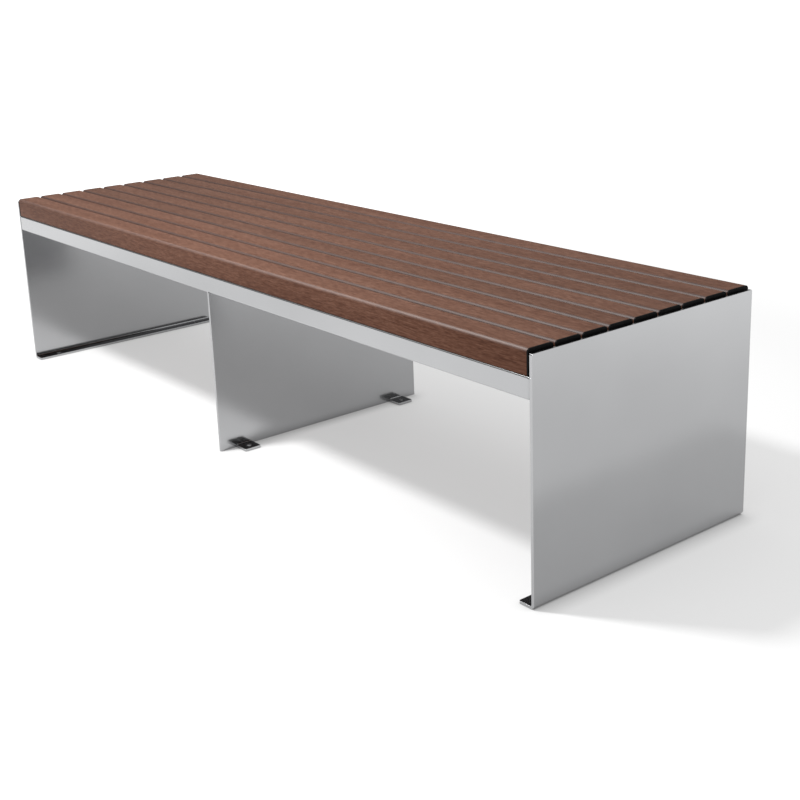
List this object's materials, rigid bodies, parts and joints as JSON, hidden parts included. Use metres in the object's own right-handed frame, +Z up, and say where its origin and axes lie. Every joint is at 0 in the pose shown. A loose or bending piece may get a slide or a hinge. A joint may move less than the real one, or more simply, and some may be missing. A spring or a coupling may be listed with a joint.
{
  "type": "backless bench",
  "caption": "Backless bench: long rectangular slatted timber seat between folded stainless end panels, with slim side aprons and a plate leg at mid length.",
  "frame": {"origin": "on the floor below the middle of the seat", "axes": "+X along the seat to the right end, -Y is the front edge, +Z up"},
  "size_m": [2, 0.56, 0.453],
  "materials": {
    "stainless": "fine satin ground stainless sheet",
    "timber": "red-brown stained hardwood, fine brushed grain, satin oil",
    "cap": "black moulded plastic",
    "fastener": "plain stainless fasteners"
  },
  "bodies": {
    "root": {"apron_clip_front": "stainless", "apron_clip_rear": "stainless", "apron_front": "stainless", "apron_rear": "stainless", "centre_ledge": "stainless", "clip_bolts": "fastener", "clip_nuts": "fastener", "clip_screws": "fastener", "end_cap_left_1": "cap", "end_cap_left_2": "cap", "end_cap_left_3": "cap", "end_cap_left_4": "cap", "end_cap_left_5": "cap", "end_cap_left_6": "cap", "end_cap_left_7": "cap", "end_cap_left_8": "cap", "end_cap_left_9": "cap", "end_cap_right_1": "cap", "end_cap_right_2": "cap", "end_cap_right_3": "cap", "end_cap_right_4": "cap", "end_cap_right_5": "cap", "end_cap_right_6": "cap", "end_cap_right_7": "cap", "end_cap_right_8": "cap", "end_cap_right_9": "cap", "end_ledge_left": "stainless", "end_ledge_right": "stainless", "end_panel_left": "stainless", "end_panel_right": "stainless", "foot_tab_front": "stainless", "foot_tab_rear": "stainless", "leg_bolts": "fastener", "leg_nuts": "fastener", "middle_leg": "stainless", "panel_studs_left": "fastener", "panel_studs_right": "fastener", "slat_1": "timber", "slat_2": "timber", "slat_3": "timber", "slat_4": "timber", "slat_5": "timber", "slat_6": "timber", "slat_7": "timber", "slat_8": "timber", "slat_9": "timber", "slat_screws_centre": "fastener", "slat_screws_left_end": "fastener", "slat_screws_left_tie": "fastener", "slat_screws_right_end": "fastener", "slat_screws_right_tie": "fastener", "stud_nuts_left": "fastener", "stud_nuts_right": "fastener", "tie_strip_left": "stainless", "tie_strip_right": "stainless"}
  },
  "joints": []
}
